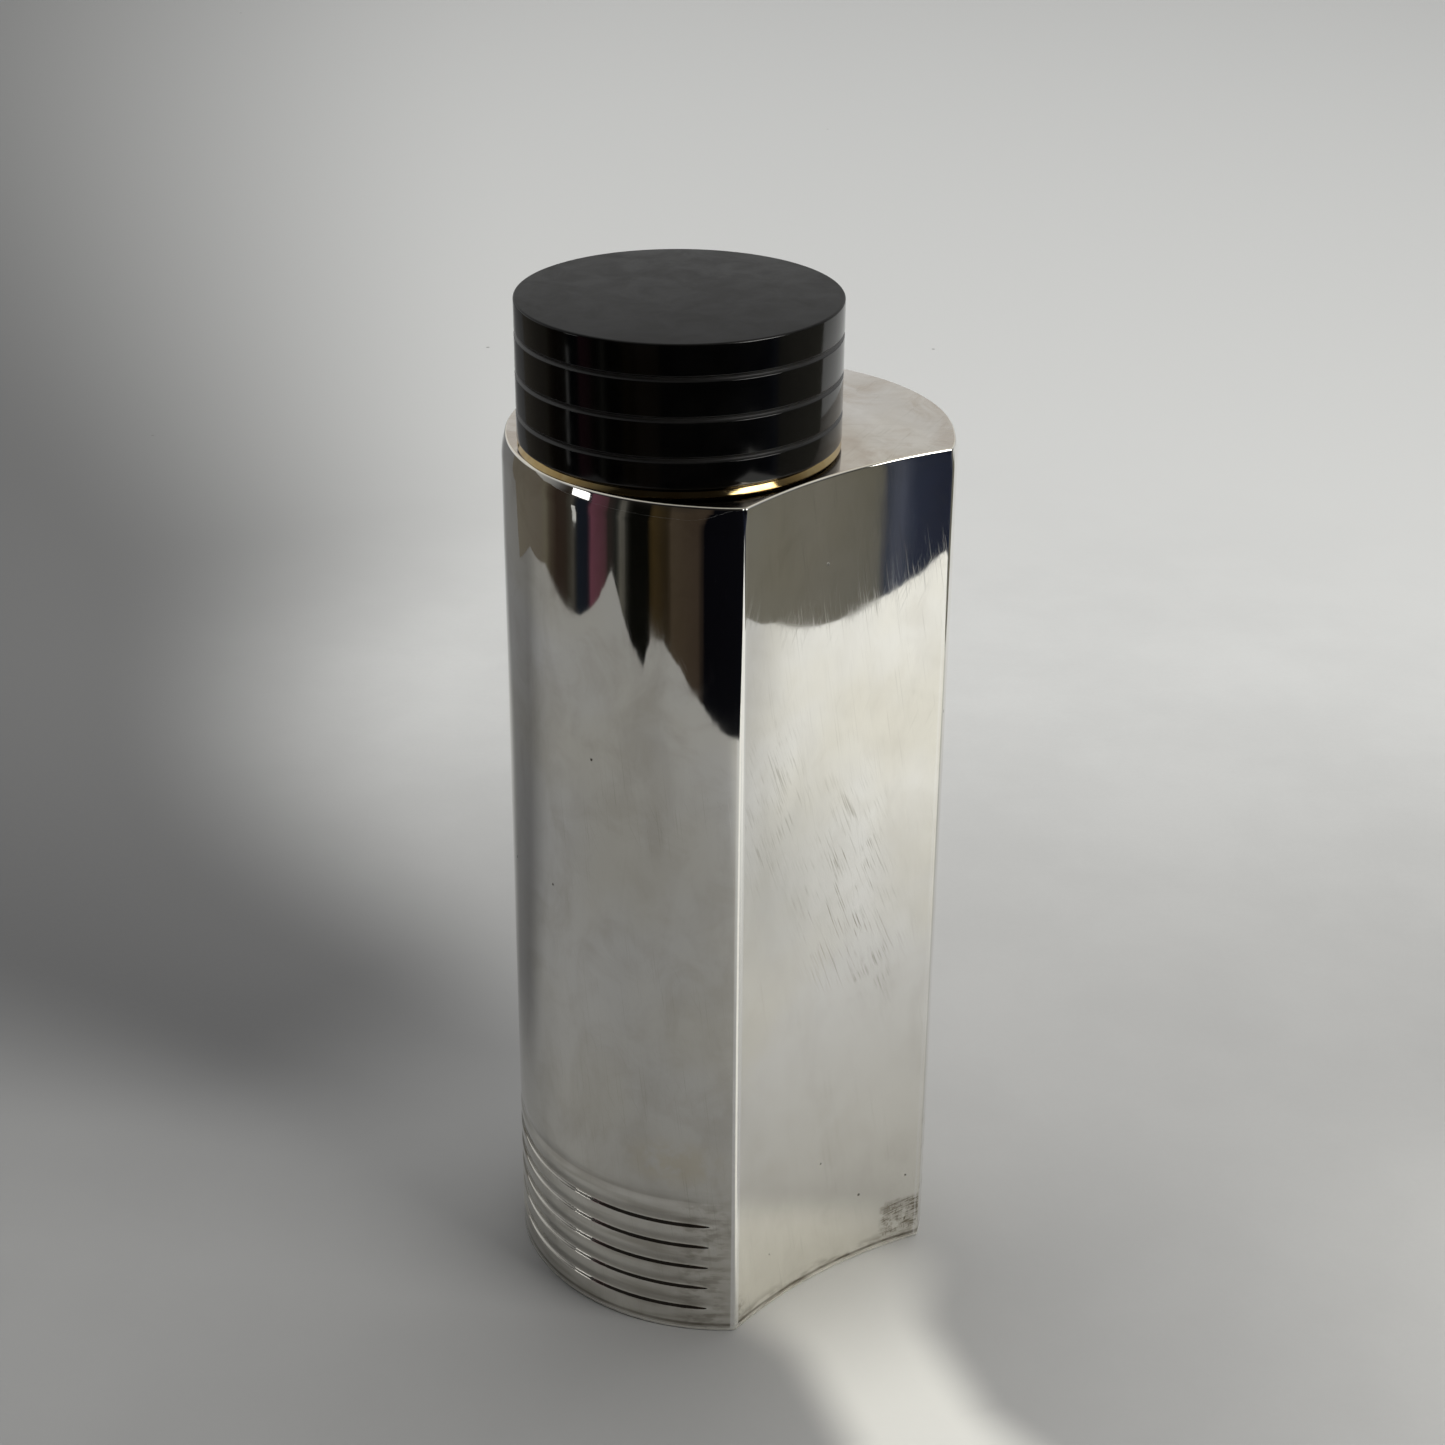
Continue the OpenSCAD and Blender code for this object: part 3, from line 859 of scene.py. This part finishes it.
def floor_mat():
    """Pale paper with painted light: painted shading makes it greyer in front and brighter to the right and behind, a
    painted shadow lies at the left, and a painted pool of light shows the light that the concave face throws on the
    floor in front of it."""
    m = Nodes("paper")
    x, y, z, p = m.mm()
    mott = m.noise(p, 0.02, 4.0, 0.6)
    fib = m.noise(p, 0.8, 4.0, 0.65)
    speck = m.n("ShaderNodeTexVoronoi", feature="F1")
    m.link(p, speck.inputs["Vector"])
    speck.inputs["Scale"].default_value = 0.016
    dot = m.ramp(speck.outputs["Distance"], 0.016, 0.008)
    az = m.mul(m.math("ARCTAN2", y, x), 180 / math.pi)
    rad = m.math("SQRT", m.add(m.mul(x, x), m.mul(y, y)))
    # painted shading: darker near the front and the left, much brighter to the right, paler behind
    near = m.mix(m.ramp(x, -30, 150), (0.375, 0.375, 0.372), (0.49, 0.49, 0.482))
    near = m.mix(m.mul(m.ramp(y, -30, 110), m.ramp(x, -20, 60)), near, (0.545, 0.545, 0.535))
    near = m.mix(m.mul(m.ramp(x, 90, 230), m.ramp(y, 60, -30)), near, (0.82, 0.82, 0.79))
    far = m.mul(m.ramp(y, 60, 290), m.ramp(x, -620, -60, 0.40, 1.0))
    col = m.mix(far, near, (0.84, 0.845, 0.83))
    # painted shadow of the caddy: a wedge of shade out to the left
    painted_shadow_wedge = m.mul(m.ramp(m.add(az, m.mul(m.ramp(rad, 150, 420), 16.0)), 113, 137), m.ramp(az, 172, 150), m.ramp(rad, 55, 130))
    col = m.mix(m.mul(painted_shadow_wedge, 0.93), col, (0.155, 0.155, 0.156))
    close = m.ramp(rad, 520, 240)
    col = m.mix(m.mul(m.ramp(mott, 0.3, 0.7), close, 0.08), col, (0.20, 0.20, 0.20))
    col = m.mix(m.mul(fib, close, 0.10), col, (0.30, 0.30, 0.30))
    # light thrown by the concave face
    t = m.add(m.mul(m.add(x, -21.0), 0.946), m.mul(m.add(y, 25.0), 0.326))
    q = m.add(m.mul(m.add(x, -21.0), 0.326), m.mul(m.add(y, 25.0), -0.946))
    wide = m.add(m.ramp(q, 0, 22, 21, 14), m.ramp(q, 45, 345, 0.0, 95.0, smooth=False))
    beam = m.mul(m.ramp(m.math("DIVIDE", m.math("ABSOLUTE", t), wide), 1.40, 0.45), m.ramp(q, -4, 42, 0.45, 1.0),
                 m.ramp(q, 330, 90, 0.8, 1.0), m.ramp(q, -16, -2))
    col = m.mix(m.mul(beam, 0.95), col, (0.99, 0.985, 0.93))
    col = m.mix(m.mul(dot, 0.6), col, (0.12, 0.11, 0.10))
    h = m.mul(m.add(mott, m.mul(fib, 0.05)), close)
    return m.principled(col, 0.75, m.bump(h, 0.25, 0.0012), metallic=0.0)


me = bpy.data.meshes.new("floor")
FR = 7.0
pts = [(FR * math.cos(2 * math.pi * i / 96), FR * math.sin(2 * math.pi * i / 96), 0.0) for i in range(96)]
me.from_pydata(pts, [], [tuple(range(96))])
floor = bpy.data.objects.new("floor", me)
bpy.context.scene.collection.objects.link(floor)
me.materials.append(floor_mat())
photo_frame(floor)

# The dark surround starts where the paper ends: azimuth (degrees, photograph's frame) and distance (mm).
EDGE_LEFT = [(-222, 500), (-217, 387), (-205, 405), (-191, 398), (-180, 375), (-166, 368), (-155, 387), (-148, 411),
             (-142, 384), (-137, 358), (-131, 343), (-127, 366), (-121, 364), (-113, 345), (-103, 322), (-96, 308), (-83, 300)]
EDGE_RIGHT = [(-75, 311), (-66, 330), (-58, 356), (-50, 392), (-44, 428), (-41.5, 452), (-38, 436), (-31, 408), (-27, 392),
              (-20, 371), (-10, 348), (-3, 338), (5, 334), (12, 338), (26, 345)]
SHIFT = math.radians(120)


def card(name, edge, far=6.5, lift=0.0006):
    v, f = [], []
    for a, r in edge:
        for d in (r * MM, far):
            t = math.radians(a) + SHIFT
            v.append((d * math.cos(t), d * math.sin(t), lift))
    for i in range(len(edge) - 1):
        f.append((2 * i, 2 * i + 1, 2 * i + 3, 2 * i + 2))
    ob = new_mesh(name, v, f, smooth=False)
    photo_frame(ob, -SHIFT)
    ob.visible_camera = False
    ob.visible_diffuse = False
    ob.visible_shadow = False
    ob.visible_transmission = False
    ob.visible_volume_scatter = False
    return ob


# Room colours by azimuth: (degrees, screen colour)
ROOM = [
    (-217, (92, 88, 80)), (-196, (84, 79, 72)), (-190, (84, 80, 70)), (-187, (60, 54, 46)),
    (-182, (40, 32, 27)), (-175, (40, 34, 29)), (-173, (50, 48, 43)), (-170.5, (58, 56, 52)), (-169, (34, 34, 34)), (-167, (20, 24, 31)),
    (-161, (20, 22, 28)), (-159.5, (82, 50, 60)), (-151.5, (66, 43, 48)), (-149.5, (38, 32, 30)),
    (-144.5, (26, 28, 26)), (-142, (84, 82, 76)), (-139.5, (32, 32, 29)), (-137.5, (8, 8, 6)),
    (-128, (8, 8, 6)), (-126.5, (50, 40, 22)), (-119, (34, 28, 19)), (-117.5, (58, 50, 40)),
    (-104, (50, 42, 35)), (-102, (6, 6, 9)),
    (-60, (11, 11, 14)), (-31, (24, 28, 42)), (-25, (34, 39, 54)), (-22.5, (66, 70, 82)), (-20, (48, 52, 62)),
    (-18.6, (90, 88, 80)), (-6, (100, 97, 88)), (26, (100, 98, 88)),
]


def room_stops(cr):
    e = cr.color_ramp.elements
    while len(e) > 1:
        e.remove(e[-1])
    for i, (deg, c) in enumerate(ROOM):
        pos = (deg + 300) / 360
        el = e[0] if i == 0 else e.new(pos)
        el.position = pos
        el.color = (*[v * 1.05 for v in lin(*c)], 1.0)


def room_mat():
    m = Nodes("room")
    x, y, z, p = m.mm()
    a = m.math("ARCTAN2", y, x)
    wob = m.add(m.noise(p, 0.0016, 2.0, 0.5), -0.5)
    f = m.add(m.mul(m.add(m.mul(a, 180 / math.pi), 180.0), 1 / 360.0), m.mul(wob, 0.004))
    cr = m.n("ShaderNodeValToRGB")
    m.link(f, cr.inputs[0])
    room_stops(cr)
    em = m.n("ShaderNodeEmission")
    m.link(cr.outputs[0], em.inputs["Color"])
    em.inputs["Strength"].default_value = 1.0
    m.link(em.outputs[0], m.out.inputs["Surface"])
    return m.mat


ROOM_MAT = room_mat()
card("room", EDGE_LEFT + EDGE_RIGHT).data.materials.append(ROOM_MAT)


def glow_mat(name, strength):
    m = Nodes(name)
    x, y, z, p = m.mm()
    em = m.n("ShaderNodeEmission")
    m.link(m.mix(m.ramp(m.noise(p, 0.01, 3.0), 0.3, 0.7), (0.75, 0.76, 0.74), (1.0, 0.99, 0.96)), em.inputs["Color"])
    em.inputs["Strength"].default_value = strength
    m.link(em.outputs[0], m.out.inputs["Surface"])
    return m.mat


# a glowing strip on the table at the left, beyond the paper, that only mirrors see: it gives a painted highlight down
# the cap and a painted glint under the rim
card("pale_strip", [(-171.0, 452), (-168.6, 452)], 0.72, 0.0012).data.materials.append(glow_mat("pale", 0.50))


def area(name, az, elev, dist, w, h, power, color=(1, 1, 1), aim=(0, 0, 0.09)):
    L = bpy.data.lights.new(name, "AREA")
    L.shape = "RECTANGLE"
    L.size, L.size_y = w, h
    L.energy = power
    L.color = color
    ob = bpy.data.objects.new(name, L)
    bpy.context.scene.collection.objects.link(ob)
    a, e = math.radians(az) + PHOTO_TURN, math.radians(elev)
    pos = Vector((math.cos(a) * math.cos(e), math.sin(a) * math.cos(e), math.sin(e))) * dist + Vector(aim)
    ob.location = pos
    ob.rotation_mode = "QUATERNION"
    ob.rotation_quaternion = (Vector(aim) - pos).to_track_quat("-Z", "Y")
    return ob


area("key_window", -30, 36, 0.95, 0.46, 0.42, 4.4, (1.0, 0.985, 0.95))
area("left_window", -166, 5, 2.3, 0.42, 0.25, 0.7, (1.0, 0.99, 0.97))
fill = area("back_fill", 80, 80, 1.7, 1.4, 1.2, 9.5, (1.0, 1.0, 1.0), aim=(0.37, 0.30, 0))
fill.visible_glossy = False  # the flat top would mirror nothing but this lamp

world = bpy.data.worlds.new("room_light")
bpy.context.scene.world = world
world.use_nodes = True
wt = world.node_tree
wt.nodes.clear()
w_out = wt.nodes.new("ShaderNodeOutputWorld")
w_bg = wt.nodes.new("ShaderNodeBackground")
w_tc = wt.nodes.new("ShaderNodeTexCoord")
w_dot = wt.nodes.new("ShaderNodeVectorMath")
w_dot.operation = "DOT_PRODUCT"
w_ramp = wt.nodes.new("ShaderNodeValToRGB")
back = rz(PHOTO_TURN) @ Vector((-0.12, 0.84, 0.50))
w_dot.inputs[1].default_value = back.normalized()
wt.links.new(w_tc.outputs["Generated"], w_dot.inputs[0])
wt.links.new(w_dot.outputs["Value"], w_ramp.inputs[0])
el = w_ramp.color_ramp.elements
el[0].position, el[0].color = 0.05, (0.012, 0.011, 0.010, 1)
el[1].position, el[1].color = 0.62, (0.60, 0.60, 0.595, 1)


def w_node(kind, **props):
    node = wt.nodes.new(kind)
    for k, v in props.items():
        setattr(node, k, v)
    return node


def w_map(src, lo, hi):
    mr = w_node("ShaderNodeMapRange", interpolation_type="SMOOTHSTEP")
    wt.links.new(src, mr.inputs["Value"])
    mr.inputs["From Min"].default_value = lo
    mr.inputs["From Max"].default_value = hi
    return mr.outputs["Result"]


# low down in front, the room's stripes go on above the table
w_turn = rz(math.radians(39.65) + SHIFT)
w_xy = []
for axis in (0, 1):
    d = w_node("ShaderNodeVectorMath", operation="DOT_PRODUCT")
    wt.links.new(w_tc.outputs["Generated"], d.inputs[0])
    d.inputs[1].default_value = w_turn.to_3x3().row[axis]
    w_xy.append(d.outputs["Value"])
w_az = w_node("ShaderNodeMath", operation="ARCTAN2")
wt.links.new(w_xy[1], w_az.inputs[0])
wt.links.new(w_xy[0], w_az.inputs[1])
w_f = w_node("ShaderNodeMath", operation="MULTIPLY_ADD")
wt.links.new(w_az.outputs[0], w_f.inputs[0])
w_f.inputs[1].default_value = 0.5 / math.pi
w_f.inputs[2].default_value = 0.5
w_room = w_node("ShaderNodeValToRGB")
wt.links.new(w_f.outputs[0], w_room.inputs[0])
room_stops(w_room)
w_sep = w_node("ShaderNodeSeparateXYZ")
wt.links.new(w_tc.outputs["Generated"], w_sep.inputs[0])
w_low = w_node("ShaderNodeMath", operation="MULTIPLY")
wt.links.new(w_map(w_sep.outputs[2], 0.34, 0.10), w_low.inputs[0])
wt.links.new(w_map(w_dot.outputs["Value"], 0.25, -0.05), w_low.inputs[1])
w_mix = w_node("ShaderNodeMix", data_type="RGBA")
wt.links.new(w_low.outputs[0], w_mix.inputs[0])
wt.links.new(w_ramp.outputs[0], w_mix.inputs[6])
wt.links.new(w_room.outputs[0], w_mix.inputs[7])
# seen straight on, over the floor's horizon, the room is plain and pale; the dark is only there for the mirrors
w_ray = w_node("ShaderNodeLightPath")
w_seen = w_node("ShaderNodeMix", data_type="RGBA")
wt.links.new(w_ray.outputs["Is Camera Ray"], w_seen.inputs[0])
wt.links.new(w_mix.outputs[2], w_seen.inputs[6])
w_seen.inputs[7].default_value = (0.46, 0.46, 0.455, 1.0)
wt.links.new(w_seen.outputs[2], w_bg.inputs["Color"])
w_bg.inputs["Strength"].default_value = 1.0
wt.links.new(w_bg.outputs[0], w_out.inputs["Surface"])

# ---- camera: the photograph's place, height and lens ----
cam = bpy.data.cameras.new("camera")
cam_ob = bpy.data.objects.new("camera", cam)
bpy.context.scene.collection.objects.link(cam_ob)
cam.sensor_fit = "HORIZONTAL"
cam.sensor_width = 36.0
cam.lens = 65.0
cam.clip_start, cam.clip_end = 0.01, 60
TH, ROLL = 0.450643, -0.008756
r_ = Vector((1, 0, 0))
u_ = Vector((0, math.sin(TH), math.cos(TH)))
f_ = Vector((0, math.cos(TH), -math.sin(TH)))
right = math.cos(ROLL) * r_ - math.sin(ROLL) * u_
up = math.sin(ROLL) * r_ + math.cos(ROLL) * u_
m3 = Matrix((right, up, -f_)).transposed().to_4x4()
place = Matrix.Translation(Vector((-0.02097, -10.836, 7.9503)) * R * MM)
cam_ob.matrix_world = rz(PHOTO_TURN) @ place @ m3
bpy.context.scene.camera = cam_ob
bpy.context.scene.view_settings.view_transform = "Standard"
